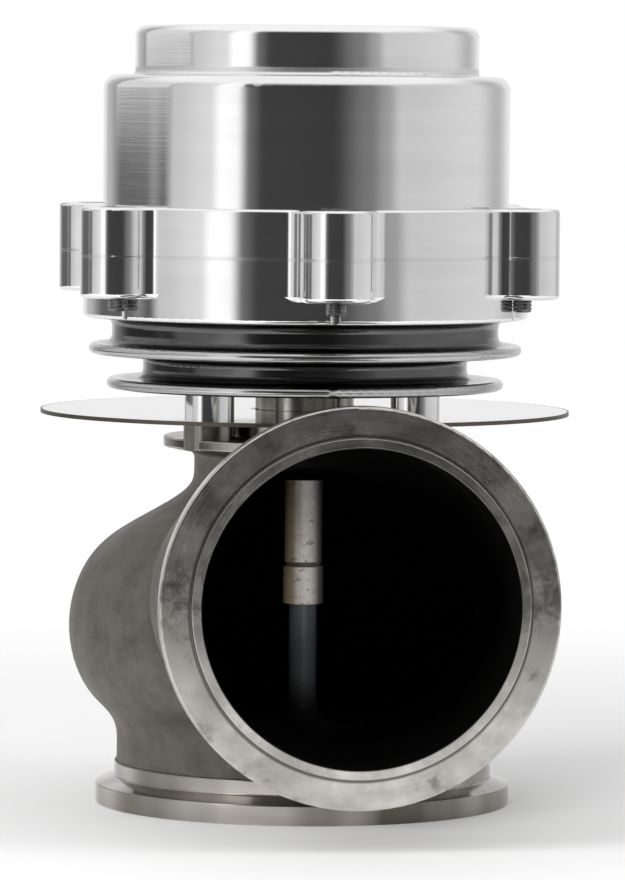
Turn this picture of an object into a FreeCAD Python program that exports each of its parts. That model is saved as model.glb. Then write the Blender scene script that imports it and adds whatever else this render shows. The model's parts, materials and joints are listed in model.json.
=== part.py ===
"""External turbo wastegate, V-band type, built piece by piece.

Millimetres. The origin is the centre of the inlet flange's face, +Z runs up the valve's axis,
and the outlet points along -Y. The valve is drawn closed.
"""
import FreeCAD
import Part
import math
import os

os.makedirs("parts", exist_ok=True)

V = FreeCAD.Vector
ORIGIN = V(0, 0, 0)
UP = V(0, 0, 1)

# Fits
PRESS_GAP = 0.02            # radial gap drawn where one piece is pressed or located in another
RUNNING_GAP = 0.03          # radial gap of the stem in its guide and bushing
THREAD_GAP = 0.05           # radial gap drawn between a screw and its thread
SCREW_CLEARANCE = 0.25      # radial gap of a screw in a plain hole
SEAT_GAP = 0.1              # gap drawn between the closed valve and its seat
SHIELD_GAP = 1.0            # gap between the heat shield and the tower or the body's boss
CUT_OVERRUN = 10.0          # how far a port's cutter runs out past the surface that it opens

# Inlet flange and neck of the body
INLET_RIM_R = 42.0
INLET_BAND_R = 38.2
INLET_NECK_R = 37.7
RIM_THICK = 4.0             # straight rim of both V-band flanges
VBAND_TAPER = 20.0          # angle of the clamp face behind the rim, degrees
BAND_LENGTH = 3.0           # machined band behind the clamp face
BAND_STEP = 0.5             # how far the outlet's band stands out from the cast neck
NECK_TOP = 13.0

# Bulb of the body: radii and heights that its outer wall passes through
HIP_R, HIP_Z = 42.4, 21.3
BELLY_R, BELLY_Z = 47.5, 36.5
SHOULDER_R, SHOULDER_Z = 42.2, 51.0
SLOPE_R, SLOPE_Z = 28.6, 60.2
ROOT_R, ROOT_Z = 23.0, 64.6
TOP_NECK_R, TOP_NECK_Z = 22.3, 70.4
WALL = 4.3                  # cast wall

# Top of the body
TOP_FLANGE_R = 28.6
TOP_FLANGE_THICK = 2.1
TOP_FLANGE_Z = 74.4         # upper face
ROOF_Z = 69.0               # ceiling of the chamber
TOP_BOSS_R = 17.5
PAD_R = 5.2
PAD_HEIGHT = 4.6
TOWER_R = 10.0
SPIGOT_R = 8.0
SPIGOT_HEIGHT = 2.0
GUIDE_BOSS_R = 5.8
GUIDE_BOSS_ROOT_R = 9.5
GUIDE_BOSS_DROP = 3.4       # how far the boss hangs below the ceiling

# Outlet
OUTLET_Z = 46.6
OUTLET_REACH = 84.7         # valve axis to the rim's face
OUTLET_RIM_R = 38.3
OUTLET_BORE_R = 30.4
OUTLET_BORE_DEPTH = 13.0
OUTLET_WALL = 3.4
OUTLET_LIP = 1.1            # height of the locating lip round the bore
OUTLET_LIP_WIDTH = 2.0
CAST_STEP = 0.6             # step from the machined bore out to the cast passage
# Cast passage behind the flange: distance from the axis, half width, top and bottom
PASSAGE = [(62.0, 34.4, 78.4, 12.9), (49.0, 35.8, 76.2, 13.6), (32.0, 34.0, 73.6, 16.0),
           (12.0, 26.0, 71.4, 20.0)]
PASSAGE_BLEND = 4.0

# Valve seat
SEAT_BORE_R = 28.0
SEAT_BODY_R = 32.5
SEAT_FLANGE_R = 36.0
SEAT_FLANGE_THICK = 3.0
SEAT_TOP = 8.0

# Valve
HEAD_R = 30.0
HEAD_RIM = 5.9
HEAD_FACE = 1.9             # radial width of the 45 degree face
HEAD_DISH_R = 24.0          # shallow dish turned in the head's front
HEAD_DISH = 1.0
HEAD_RISE = 2.6             # rise of the head's back from rim to stem
TULIP_ROUNDING = 5.0
STEM_R = 2.9
STEM_THREAD_R = 2.5
STEM_THREAD_LENGTH = 13.8

# Valve guide
GUIDE_R = 3.85
GUIDE_PRESS_R = 4.5
GUIDE_COLLAR_R = 4.15
GUIDE_COLLAR = 7.8
GUIDE_BOTTOM = 40.3
GUIDE_GROOVE = 0.6

# Heat shield and posts
SHIELD_R = 53.5
SHIELD_THICK = 0.8
POST_R = 5.0
POST_HEIGHT = 4.2
POST_CIRCLE_R = 24.0
POST_COUNT = 3

# Actuator base
FIN_THICK = 2.1
LOWER_FIN_R = 40.15
LOWER_GROOVE_R = 32.8
LOWER_GROOVE = 4.9
UPPER_FIN_R = 43.75
UPPER_GROOVE_R = 39.1
UPPER_GROOVE = 5.3
GROOVE_ROUNDING = 1.9
RING_R = 45.0
RING_HEIGHT = 12.9
RING_FOOT_ROUNDING = 1.0
BASE_FLOOR = 9.2
CUP_R = 31.5
CUP_HEIGHT = 4.3
CHAMBER_R = 36.0
CHAMBER_CONE = 4.0
BUSH_LENGTH = 4.4
BUSH_R = 5.5
GASKET_THICK = 0.6

# Lobes and cap screws
LOBE_COUNT = 6
LOBE_R = 7.4
LOBE_OUTSET = 1.8           # how far outside the ring each lobe is centred
LOBE_FILLET = 3.2
BASE_LOBE_HEIGHT = 8.3
CAP_SCREW_R = 2.0
CAP_SCREW_HEAD_R = 3.5
CAP_SCREW_HEAD = 4.0
CAP_SCREW_TAIL = 2.6        # length that shows below the lower lobe
CAP_SCREW_RECESS = 4.4
CAP_SCREW_SOCKET = 3.0      # across flats

# Actuator cap
CAP_FLANGE = 9.7
CAP_FLANGE_ROUNDING = 0.7
CAP_BODY_R = 41.05
CAP_BODY = 26.2
CAP_STEP_R = 34.7
CAP_STEP = 9.9
CAP_WALL = 4.5
CAP_ROOF = 3.9
EDGE_BREAK = 0.25
CAP_BODY_ROUNDING = 2.6
CAP_STEP_ROUNDING = 2.0
SPRING_HUB = 3.0            # length of the hub that centres the springs

# Diaphragm and what clamps it
DIAPHRAGM_THICK = 1.2
DIAPHRAGM_RIM_MARGIN = 4.0  # metal left outside the diaphragm's rim
DIAPHRAGM_FLAT_R = 29.3
PLATE_R = 28.0
PLATE_THICK = 2.0
PLATE_LIFT = 1.0            # gap from the base's floor to the plate, valve closed
PISTON_GAP = 0.6            # gap between the piston's wall and the diaphragm's cone
PISTON_FLOOR = 3.0
PISTON_WALL = 1.5
PISTON_HEIGHT = 9.0
WASHER_R = 6.5
WASHER_THICK = 1.0
NUT_FLATS = 8.0
NUT_HEIGHT = 5.0

# Springs, nested from the piston's wall inwards: name, wire radius, pitch
SPRINGS = [("spring_outer", 2.0, 9.4), ("spring_middle", 1.7, 8.2), ("spring_inner", 1.4, 6.9)]
SPRING_GAP = 1.5            # radial gap from each spring to the next

# Mounting screws, through the base's floor into the body's pads
MOUNT_SCREW_R = 2.5
MOUNT_HEAD_R = 4.25
MOUNT_HEAD = 5.0
MOUNT_SOCKET = 4.0          # across flats
MOUNT_WASHER_R = 4.5
MOUNT_WASHER_THICK = 1.0
MOUNT_FLOOR = 3.0           # metal left below the head's recess
MOUNT_THREAD_DEPTH = 6.4

# Air ports
PORT_R = 4.35
PORT_FACE_R = 7.2
PORT_FACE_DEPTH = 0.8
PORT_ANGLE = 60.0
SPARE_PORT_ANGLE = 120.0
CAP_PORT_Z = 133.0
CAP_PORT_BOSS_R = 8.0
CAP_PORT_BOSS = 3.0
PLUG_INSET = 1.2            # how far the plug's end stays back from the chamber
PLUG_SOCKET = 4.0           # across flats

# Heights that follow from the sizes above
PAD_TOP = TOP_FLANGE_Z + PAD_HEIGHT
SHIELD_TOP = PAD_TOP + SHIELD_THICK
BASE_Z = SHIELD_TOP + POST_HEIGHT
UPPER_FIN_Z = BASE_Z + FIN_THICK + LOWER_GROOVE
RING_Z = UPPER_FIN_Z + FIN_THICK + UPPER_GROOVE
SPLIT_Z = RING_Z + RING_HEIGHT
FLOOR_Z = BASE_Z + BASE_FLOOR
PLATE_Z = FLOOR_Z + PLATE_LIFT
DIAPHRAGM_Z = PLATE_Z + PLATE_THICK
PISTON_Z = DIAPHRAGM_Z + DIAPHRAGM_THICK
SPRING_SEAT_Z = PISTON_Z + PISTON_FLOOR
CAP_FLANGE_Z = SPLIT_Z + CAP_FLANGE
CAP_SHOULDER_Z = CAP_FLANGE_Z + CAP_BODY
CAP_TOP_Z = CAP_SHOULDER_Z + CAP_STEP
CAP_CEILING_Z = CAP_TOP_Z - CAP_ROOF
SPIGOT_TOP = BASE_Z + SPIGOT_HEIGHT
BUSH_Z = SPIGOT_TOP + GASKET_THICK
SEAL_Z = BUSH_Z + BUSH_LENGTH
HEAD_Z = SEAT_TOP + SEAT_GAP * math.sqrt(2)
BOSS_Z = ROOF_Z - GUIDE_BOSS_DROP
RIM_BACK = RIM_THICK + (INLET_RIM_R - INLET_BAND_R) * math.tan(math.radians(VBAND_TAPER))
OUTLET_BAND_R = OUTLET_BORE_R + OUTLET_WALL + BAND_STEP
OUTLET_BAND_START = (OUTLET_REACH - RIM_THICK - BAND_LENGTH
                     - (OUTLET_RIM_R - OUTLET_BAND_R) * math.tan(math.radians(VBAND_TAPER)))
PORT_Z = SPLIT_Z - RING_HEIGHT / 2
LOBE_CIRCLE_R = RING_R + LOBE_OUTSET
DIAPHRAGM_RIM_R = RING_R - DIAPHRAGM_RIM_MARGIN
PISTON_R = DIAPHRAGM_FLAT_R - DIAPHRAGM_THICK - PISTON_GAP
SPRING_HUB_R = PISTON_R - PISTON_WALL - sum(2 * wire_r + SPRING_GAP for _, wire_r, _ in SPRINGS) - 0.4


def rounded_wire(corners):
    """Closed wire in the XZ plane through (x, z) or (x, z, rounding) corners."""
    points = [V(c[0], 0, c[1]) for c in corners]
    starts, ends, arcs = [], [], []
    for i, corner in enumerate(corners):
        here = points[i]
        rounding = corner[2] if len(corner) > 2 else 0
        if not rounding:
            starts.append(here)
            ends.append(here)
            arcs.append(None)
            continue
        back = (points[i - 1] - here).normalize()
        ahead = (points[(i + 1) % len(points)] - here).normalize()
        half = back.getAngle(ahead) / 2
        centre = here + (back + ahead).normalize() * (rounding / math.sin(half))
        start = here + back * (rounding / math.tan(half))
        end = here + ahead * (rounding / math.tan(half))
        middle = centre + (here - centre).normalize() * rounding
        starts.append(start)
        ends.append(end)
        arcs.append(Part.Arc(start, middle, end).toShape())
    edges = []
    for i in range(len(points)):
        if arcs[i]:
            edges.append(arcs[i])
        after = starts[(i + 1) % len(points)]
        if ends[i].distanceToPoint(after) > 1e-6:
            edges.append(Part.makeLine(ends[i], after))
    return Part.Wire(edges)


def lathe(corners):
    """Solid turned about Z from an outline of (radius, height, rounding) corners."""
    return Part.Face(rounded_wire(corners)).revolve(ORIGIN, UP, 360)


def cylinder(radius, low, high, x=0.0, y=0.0):
    return Part.makeCylinder(radius, high - low, V(x, y, low))


def tube(outer, inner, low, high, x=0.0, y=0.0):
    return cylinder(outer, low, high, x, y).cut(cylinder(inner, low, high, x, y))


def round_places(count, radius, first=-90.0):
    """Centres evenly round the axis, the first one over the outlet."""
    places = []
    for i in range(count):
        angle = math.radians(first + 360.0 * i / count)
        places.append((radius * math.cos(angle), radius * math.sin(angle)))
    return places


def hexagon(across_flats, low, high):
    """Upright six-sided prism on the axis."""
    corner = across_flats / math.sqrt(3)
    points = [V(x, y, low) for x, y in round_places(6, corner)]
    return Part.Face(Part.makePolygon(points + points[:1])).extrude(V(0, 0, high - low))


def socket_screw(head_r, head, shank_r, length, flats):
    """Socket-head screw, its head's underside at the origin, pointing down."""
    body = lathe([
        (0, -length), (shank_r - 0.4, -length), (shank_r, -length + 0.5), (shank_r, 0),
        (head_r, 0), (head_r, head, 0.4), (0, head),
    ])
    return body.cut(hexagon(flats, head / 2, head))


def outward(shape, angle, height):
    """Turns a shape drawn along +Z so that it points away from the axis at this angle."""
    turned = shape.copy()
    turned.rotate(ORIGIN, V(0, 1, 0), 90)
    turned.rotate(ORIGIN, UP, angle)
    turned.translate(V(0, 0, height))
    return turned


def to_outlet(shape):
    """Moves a shape drawn along +Z onto the outlet's axis, pointing out of it."""
    turned = shape.copy()
    turned.rotate(ORIGIN, V(1, 0, 0), 90)
    turned.translate(V(0, 0, OUTLET_Z))
    return turned


# Valve body casting

def bulb_curve():
    """Outer wall of the bulb, from the inlet neck up to the top neck."""
    places = [
        (INLET_NECK_R, NECK_TOP), (HIP_R, HIP_Z), (BELLY_R, BELLY_Z), (SHOULDER_R, SHOULDER_Z),
        (SLOPE_R, SLOPE_Z), (ROOT_R, ROOT_Z), (TOP_NECK_R, TOP_NECK_Z),
    ]
    curve = Part.BSplineCurve()
    curve.interpolate(Points=[V(r, 0, z) for r, z in places], InitialTangent=UP, FinalTangent=UP)
    return curve


def inner_curve(outer):
    """The same wall seen from inside: the outer curve moved in by the wall's thickness."""
    steps = 10
    span = outer.LastParameter - outer.FirstParameter
    points = []
    for i in range(steps + 1):
        at = outer.FirstParameter + span * i / steps
        along = outer.tangent(at)[0]
        points.append(outer.value(at) + V(-along.z, 0, along.x) * WALL)
    curve = Part.BSplineCurve()
    curve.interpolate(points)
    return curve


def turned_under(curve, low, high):
    """Solid of revolution between a wall curve and the axis, closed by flat ends."""
    bottom, top = curve.StartPoint, curve.EndPoint
    below = [V(0, 0, top.z), V(0, 0, low), V(bottom.x, 0, low), bottom]
    edges = [curve.toShape(), Part.makeLine(top, below[0])]
    edges += [Part.makeLine(a, b) for a, b in zip(below, below[1:]) if a.distanceToPoint(b) > 1e-6]
    solid = Part.Face(Part.Wire(edges)).revolve(ORIGIN, UP, 360)
    solid.rotate(ORIGIN, UP, 90)
    return solid.common(cylinder(2 * BELLY_R, low, high))


def inlet_flange():
    return lathe([
        (0, 0), (INLET_RIM_R, 0, 0.3), (INLET_RIM_R, RIM_THICK, 0.3), (INLET_BAND_R, RIM_BACK, 0.4),
        (INLET_BAND_R, RIM_BACK + BAND_LENGTH, 0.3), (0, RIM_BACK + BAND_LENGTH),
    ])


def top_of_body():
    """Flange, boss, tower and spigot that carry the heat shield and the actuator."""
    boss_top = PAD_TOP - SHIELD_GAP
    under = TOP_FLANGE_Z - TOP_FLANGE_THICK
    body = lathe([
        (0, ROOF_Z), (TOP_NECK_R, ROOF_Z), (TOP_NECK_R, under - 1.2, 1.5),
        (TOP_FLANGE_R, under, 0.5), (TOP_FLANGE_R, TOP_FLANGE_Z, 0.4),
        (TOP_BOSS_R, TOP_FLANGE_Z, 0.8), (TOP_BOSS_R, boss_top, 0.4), (TOWER_R, boss_top, 0.5),
        (TOWER_R, BASE_Z), (SPIGOT_R, BASE_Z), (SPIGOT_R, SPIGOT_TOP), (0, SPIGOT_TOP),
    ])
    for x, y in round_places(POST_COUNT, POST_CIRCLE_R, 90.0):
        body = body.fuse(cylinder(PAD_R, under, PAD_TOP, x, y))
    return body


def outlet_flange():
    rim_back = OUTLET_REACH - RIM_THICK
    lip_r = OUTLET_BORE_R + OUTLET_LIP_WIDTH
    return to_outlet(lathe([
        (0, OUTLET_BAND_START), (OUTLET_BAND_R, OUTLET_BAND_START, 0.3),
        (OUTLET_BAND_R, OUTLET_BAND_START + BAND_LENGTH, 0.4), (OUTLET_RIM_R, rim_back, 0.3),
        (OUTLET_RIM_R, OUTLET_REACH, 0.5), (lip_r, OUTLET_REACH, 0.2),
        (lip_r, OUTLET_REACH + OUTLET_LIP, 0.3), (0, OUTLET_REACH + OUTLET_LIP),
    ]))


def oval(reach, half_width, top, bottom):
    """Upright closed oval across the outlet's axis, starting at its side."""
    middle, half_height = (top + bottom) / 2, (top - bottom) / 2
    steps = 16
    points = []
    for i in range(steps):
        turn = 2 * math.pi * i / steps
        points.append(V(half_width * math.cos(turn), -reach, middle + half_height * math.sin(turn)))
    curve = Part.BSplineCurve()
    curve.interpolate(Points=points, PeriodicFlag=True)
    return Part.Wire(curve.toShape())


def passage(first, inset):
    """Cast passage from the flange into the bulb, as a loft through its sections."""
    radius = OUTLET_BORE_R + OUTLET_WALL
    sections = [(first, radius, OUTLET_Z + radius, OUTLET_Z - radius)] + PASSAGE
    return Part.makeLoft([oval(reach, width - inset, top - inset, bottom + inset)
                          for reach, width, top, bottom in sections], True)


def valve_housing():
    outer = bulb_curve()
    body = turned_under(outer, RIM_BACK, TOP_NECK_Z)
    body = body.fuse(passage(OUTLET_BAND_START + BAND_LENGTH / 2, 0))
    seam = [e for e in body.Edges if is_blend(e)]
    body = body.makeFillet(PASSAGE_BLEND, seam)
    body = body.fuse([inlet_flange(), top_of_body(), outlet_flange()])

    chamber = turned_under(inner_curve(outer), NECK_TOP, ROOF_Z)
    boss = lathe([
        (0, BOSS_Z), (GUIDE_BOSS_R, BOSS_Z, 0.6), (GUIDE_BOSS_ROOT_R, ROOF_Z + 1), (0, ROOF_Z + 1),
    ])
    bore_end = OUTLET_REACH + OUTLET_LIP - OUTLET_BORE_DEPTH
    hollows = [
        chamber.fuse(passage(bore_end, OUTLET_WALL - CAST_STEP)).cut(boss),
        to_outlet(cylinder(OUTLET_BORE_R, bore_end, OUTLET_REACH + 2 * OUTLET_LIP)),
        cylinder(SEAT_BODY_R + PRESS_GAP, 0, NECK_TOP),
        cylinder(SEAT_FLANGE_R + PRESS_GAP, 0, SEAT_FLANGE_THICK),
        cylinder(GUIDE_PRESS_R + PRESS_GAP, BOSS_Z - 1, SPIGOT_TOP),
    ]
    thread_bottom = PAD_TOP - MOUNT_THREAD_DEPTH
    for x, y in round_places(POST_COUNT, POST_CIRCLE_R, 90.0):
        hollows.append(cylinder(MOUNT_SCREW_R + THREAD_GAP, thread_bottom, PAD_TOP, x, y))
    return body.cut(hollows)


def is_blend(edge):
    """True on the line where the outlet passage leaves the bulb."""
    box = edge.BoundBox
    return box.YMin > -PASSAGE[0][0] and box.YMax < -1 and box.ZLength > 5


def valve_seat():
    """Flanged ring, held in the inlet by the pipe's own flange."""
    return lathe([
        (SEAT_BORE_R, 0), (SEAT_FLANGE_R, 0), (SEAT_FLANGE_R, SEAT_FLANGE_THICK),
        (SEAT_BODY_R, SEAT_FLANGE_THICK), (SEAT_BODY_R, SEAT_TOP), (HEAD_R, SEAT_TOP),
        (SEAT_BORE_R, SEAT_TOP - HEAD_R + SEAT_BORE_R),
    ])


def valve_guide():
    """Sleeve pressed in the roof boss and tower, with a grooved collar at its foot."""
    collar_top = GUIDE_BOTTOM + GUIDE_COLLAR
    bore = STEM_R + RUNNING_GAP
    return lathe([
        (bore, GUIDE_BOTTOM), (GUIDE_COLLAR_R, GUIDE_BOTTOM, 0.3), (GUIDE_COLLAR_R, collar_top),
        (GUIDE_R - GUIDE_GROOVE / 2, collar_top), (GUIDE_R - GUIDE_GROOVE / 2, collar_top + GUIDE_GROOVE),
        (GUIDE_R, collar_top + GUIDE_GROOVE), (GUIDE_R, BOSS_Z), (GUIDE_PRESS_R, BOSS_Z),
        (GUIDE_PRESS_R, SPIGOT_TOP), (bore, SPIGOT_TOP),
    ])


def guide_gasket():
    return tube(SPIGOT_R, STEM_R + 1, SPIGOT_TOP, BUSH_Z)


# Heat shield, posts and mounting screws

def heat_shield():
    shield = tube(SHIELD_R, TOWER_R + SHIELD_GAP, PAD_TOP, SHIELD_TOP)
    for x, y in round_places(POST_COUNT, POST_CIRCLE_R, 90.0):
        shield = shield.cut(cylinder(MOUNT_SCREW_R + SCREW_CLEARANCE, PAD_TOP, SHIELD_TOP, x, y))
    return shield


def standoff_posts():
    bore = MOUNT_SCREW_R + SCREW_CLEARANCE
    places = round_places(POST_COUNT, POST_CIRCLE_R, 90.0)
    return Part.makeCompound([tube(POST_R, bore, SHIELD_TOP, BASE_Z, x, y) for x, y in places])


def mounting_washers():
    low = BASE_Z + MOUNT_FLOOR
    bore = MOUNT_SCREW_R + SCREW_CLEARANCE
    places = round_places(POST_COUNT, POST_CIRCLE_R, 90.0)
    return Part.makeCompound([
        tube(MOUNT_WASHER_R, bore, low, low + MOUNT_WASHER_THICK, x, y) for x, y in places])


def mounting_screws():
    under_head = BASE_Z + MOUNT_FLOOR + MOUNT_WASHER_THICK
    length = under_head - PAD_TOP + MOUNT_THREAD_DEPTH - 0.3
    screws = []
    for x, y in round_places(POST_COUNT, POST_CIRCLE_R, 90.0):
        screw = socket_screw(MOUNT_HEAD_R, MOUNT_HEAD, MOUNT_SCREW_R, length, MOUNT_SOCKET)
        screw.translate(V(x, y, under_head))
        screws.append(screw)
    return Part.makeCompound(screws)


# Actuator base and cap

def lobed_disc(low, high):
    """Round disc with a boss at each cap screw, blended in by concave fillets."""
    disc = cylinder(RING_R, low, high)
    for x, y in round_places(LOBE_COUNT, LOBE_CIRCLE_R):
        disc = disc.fuse(cylinder(LOBE_R, low, high, x, y))
    disc = disc.removeSplitter()
    upright = [e for e in disc.Edges if abs(e.BoundBox.ZLength - (high - low)) < 1e-6
               and math.hypot(e.CenterOfMass.x, e.CenterOfMass.y) < RING_R + 0.01
               and e.BoundBox.XLength < 1e-6 and e.BoundBox.YLength < 1e-6]
    return disc.makeFillet(LOBE_FILLET, upright)


def horizontal_edges(shape, height):
    """Outer edges that lie in the plane at this height."""
    return [e for e in shape.Edges
            if e.BoundBox.ZLength < 1e-6 and abs(e.BoundBox.ZMin - height) < 1e-6]


def port_cut(face_r, inner_r):
    """Cutter for a threaded air port: the bore, and the flat face that its fitting seals on."""
    bore = cylinder(PORT_R, inner_r, face_r + CUT_OVERRUN)
    return bore.fuse(cylinder(PORT_FACE_R, face_r - PORT_FACE_DEPTH, face_r + CUT_OVERRUN))


def diaphragm_groove(low, high):
    return tube(DIAPHRAGM_RIM_R + PRESS_GAP, CHAMBER_R - 1, low, high)


def actuator_base():
    tip = FIN_THICK * 0.48
    ring = lathe([
        (0, BASE_Z), (LOWER_FIN_R, BASE_Z, tip), (LOWER_FIN_R, BASE_Z + FIN_THICK, tip),
        (LOWER_GROOVE_R, BASE_Z + FIN_THICK, GROOVE_ROUNDING),
        (LOWER_GROOVE_R, UPPER_FIN_Z, GROOVE_ROUNDING), (UPPER_FIN_R, UPPER_FIN_Z, tip),
        (UPPER_FIN_R, UPPER_FIN_Z + FIN_THICK, tip),
        (UPPER_GROOVE_R, UPPER_FIN_Z + FIN_THICK, GROOVE_ROUNDING),
        (UPPER_GROOVE_R, RING_Z, GROOVE_ROUNDING), (RING_R, RING_Z, RING_FOOT_ROUNDING),
        (RING_R, SPLIT_Z), (0, SPLIT_Z),
    ])
    lobes = lobed_disc(SPLIT_Z - BASE_LOBE_HEIGHT, SPLIT_Z)
    lobes = lobes.makeFillet(1.0, horizontal_edges(lobes, SPLIT_Z - BASE_LOBE_HEIGHT))
    body = ring.fuse(lobes)
    body = body.makeFillet(EDGE_BREAK, horizontal_edges(body, SPLIT_Z))

    cone_z = FLOOR_Z + CUP_HEIGHT
    hollows = [
        lathe([
            (0, FLOOR_Z), (CUP_R, FLOOR_Z, 1.0), (CUP_R, cone_z), (CHAMBER_R, cone_z + CHAMBER_CONE),
            (CHAMBER_R, SPLIT_Z), (0, SPLIT_Z),
        ]),
        diaphragm_groove(SPLIT_Z - DIAPHRAGM_THICK / 2, SPLIT_Z),
        cylinder(SPIGOT_R + PRESS_GAP, BASE_Z, BUSH_Z),
        cylinder(BUSH_R + PRESS_GAP, BUSH_Z, FLOOR_Z),
        outward(port_cut(RING_R, CHAMBER_R - 1), PORT_ANGLE, PORT_Z),
        outward(port_cut(RING_R, CHAMBER_R - 1), SPARE_PORT_ANGLE, PORT_Z),
    ]
    for x, y in round_places(POST_COUNT, POST_CIRCLE_R, 90.0):
        hollows.append(cylinder(MOUNT_SCREW_R + SCREW_CLEARANCE, BASE_Z, FLOOR_Z, x, y))
        hollows.append(cylinder(MOUNT_WASHER_R + SCREW_CLEARANCE, BASE_Z + MOUNT_FLOOR, FLOOR_Z, x, y))
    for x, y in round_places(LOBE_COUNT, LOBE_CIRCLE_R):
        hollows.append(cylinder(CAP_SCREW_R + THREAD_GAP, RING_Z, SPLIT_Z, x, y))
    return body.cut(hollows)


def actuator_cap():
    flange = lobed_disc(SPLIT_Z, CAP_FLANGE_Z)
    flange = flange.makeFillet(CAP_FLANGE_ROUNDING, horizontal_edges(flange, CAP_FLANGE_Z))
    flange = flange.makeFillet(EDGE_BREAK, horizontal_edges(flange, SPLIT_Z))
    body = lathe([
        (0, SPLIT_Z + 1), (CAP_BODY_R, SPLIT_Z + 1), (CAP_BODY_R, CAP_SHOULDER_Z, CAP_BODY_ROUNDING),
        (CAP_STEP_R, CAP_SHOULDER_Z, 0.8), (CAP_STEP_R, CAP_TOP_Z, CAP_STEP_ROUNDING), (0, CAP_TOP_Z),
    ])
    body = body.fuse(flange)

    inner_r = CAP_BODY_R - CAP_WALL
    shoulder = CAP_SHOULDER_Z - CAP_ROOF
    hollow = lathe([
        (0, SPLIT_Z), (inner_r, SPLIT_Z), (inner_r, shoulder, 1.5), (CAP_STEP_R - CAP_WALL, shoulder, 1.0),
        (CAP_STEP_R - CAP_WALL, CAP_CEILING_Z, 1.5), (0, CAP_CEILING_Z),
    ])
    hub = cylinder(SPRING_HUB_R, CAP_CEILING_Z - SPRING_HUB, CAP_CEILING_Z)
    boss = outward(cylinder(CAP_PORT_BOSS_R, inner_r - CAP_PORT_BOSS, inner_r + 1), PORT_ANGLE, CAP_PORT_Z)
    port = port_cut(CAP_BODY_R, inner_r - CAP_PORT_BOSS - 1)
    hollows = [
        hollow.cut([hub, boss]),
        diaphragm_groove(SPLIT_Z, SPLIT_Z + DIAPHRAGM_THICK / 2),
        outward(port, PORT_ANGLE, CAP_PORT_Z),
    ]
    for x, y in round_places(LOBE_COUNT, LOBE_CIRCLE_R):
        hollows.append(cylinder(CAP_SCREW_R + SCREW_CLEARANCE, SPLIT_Z, CAP_FLANGE_Z, x, y))
        hollows.append(cylinder(CAP_SCREW_HEAD_R + SCREW_CLEARANCE,
                                CAP_FLANGE_Z - CAP_SCREW_RECESS, CAP_FLANGE_Z + 1, x, y))
    return body.cut(hollows)


def cap_screws():
    under_head = CAP_FLANGE_Z - CAP_SCREW_RECESS
    length = under_head - (SPLIT_Z - BASE_LOBE_HEIGHT) + CAP_SCREW_TAIL
    screws = []
    for x, y in round_places(LOBE_COUNT, LOBE_CIRCLE_R):
        screw = socket_screw(CAP_SCREW_HEAD_R, CAP_SCREW_HEAD, CAP_SCREW_R, length, CAP_SCREW_SOCKET)
        screw.translate(V(x, y, under_head))
        screws.append(screw)
    return Part.makeCompound(screws)


def port_plug():
    """Taper plug with a hex socket, in the spare port of the base."""
    start, end = CHAMBER_R + PLUG_INSET, RING_R - PORT_FACE_DEPTH
    body = cylinder(PORT_R - THREAD_GAP, start, end)
    socket = hexagon(PLUG_SOCKET, (start + end) / 2, end)
    return outward(body.cut(socket), SPARE_PORT_ANGLE, PORT_Z)


def stem_bushing():
    return tube(BUSH_R, STEM_R + RUNNING_GAP, BUSH_Z, SEAL_Z)


def stem_seal():
    return tube(BUSH_R, STEM_R + RUNNING_GAP, SEAL_Z, FLOOR_Z)


# Moving parts

def valve():
    face_z = HEAD_Z - HEAD_FACE
    rim_top = HEAD_Z + HEAD_RIM
    thread_top = PLATE_Z + STEM_THREAD_LENGTH
    return lathe([
        (0, face_z + HEAD_DISH), (HEAD_DISH_R, face_z + HEAD_DISH, 2.0),
        (HEAD_DISH_R + 2 * HEAD_DISH, face_z), (HEAD_R - HEAD_FACE, face_z), (HEAD_R, HEAD_Z),
        (HEAD_R, rim_top, 0.5), (STEM_R, rim_top + HEAD_RISE, TULIP_ROUNDING), (STEM_R, PLATE_Z),
        (STEM_THREAD_R, PLATE_Z), (STEM_THREAD_R, thread_top, 0.4), (0, thread_top),
    ])


def diaphragm_plate():
    return lathe([
        (STEM_THREAD_R + PRESS_GAP, PLATE_Z), (PLATE_R, PLATE_Z, 0.6), (PLATE_R, DIAPHRAGM_Z),
        (STEM_THREAD_R + PRESS_GAP, DIAPHRAGM_Z),
    ])


def diaphragm():
    """Moulded dish: clamped rim in the split, cone down to the flat that the plates hold."""
    low, high = SPLIT_Z - DIAPHRAGM_THICK / 2, SPLIT_Z + DIAPHRAGM_THICK / 2
    flat_top = DIAPHRAGM_Z + DIAPHRAGM_THICK
    neck_r = CHAMBER_R - 0.8
    return lathe([
        (STEM_THREAD_R + PRESS_GAP, DIAPHRAGM_Z), (DIAPHRAGM_FLAT_R, DIAPHRAGM_Z, 1.6),
        (neck_r, low, 0.8), (DIAPHRAGM_RIM_R, low), (DIAPHRAGM_RIM_R, high),
        (neck_r - DIAPHRAGM_THICK, high, 1.6),
        (DIAPHRAGM_FLAT_R - DIAPHRAGM_THICK, flat_top, 0.5), (STEM_THREAD_R + PRESS_GAP, flat_top),
    ])


def piston():
    """Clamp cup: the springs stand on its floor, inside its wall."""
    bore = STEM_THREAD_R + PRESS_GAP
    inner_r = PISTON_R - PISTON_WALL
    top = PISTON_Z + PISTON_HEIGHT
    return lathe([
        (bore, PISTON_Z), (PISTON_R, PISTON_Z, 0.6), (PISTON_R, top, 0.5), (inner_r, top, 0.5),
        (inner_r, SPRING_SEAT_Z), (bore, SPRING_SEAT_Z),
    ])


def stem_washer():
    return tube(WASHER_R, STEM_THREAD_R + PRESS_GAP, SPRING_SEAT_Z, SPRING_SEAT_Z + WASHER_THICK)


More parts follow.
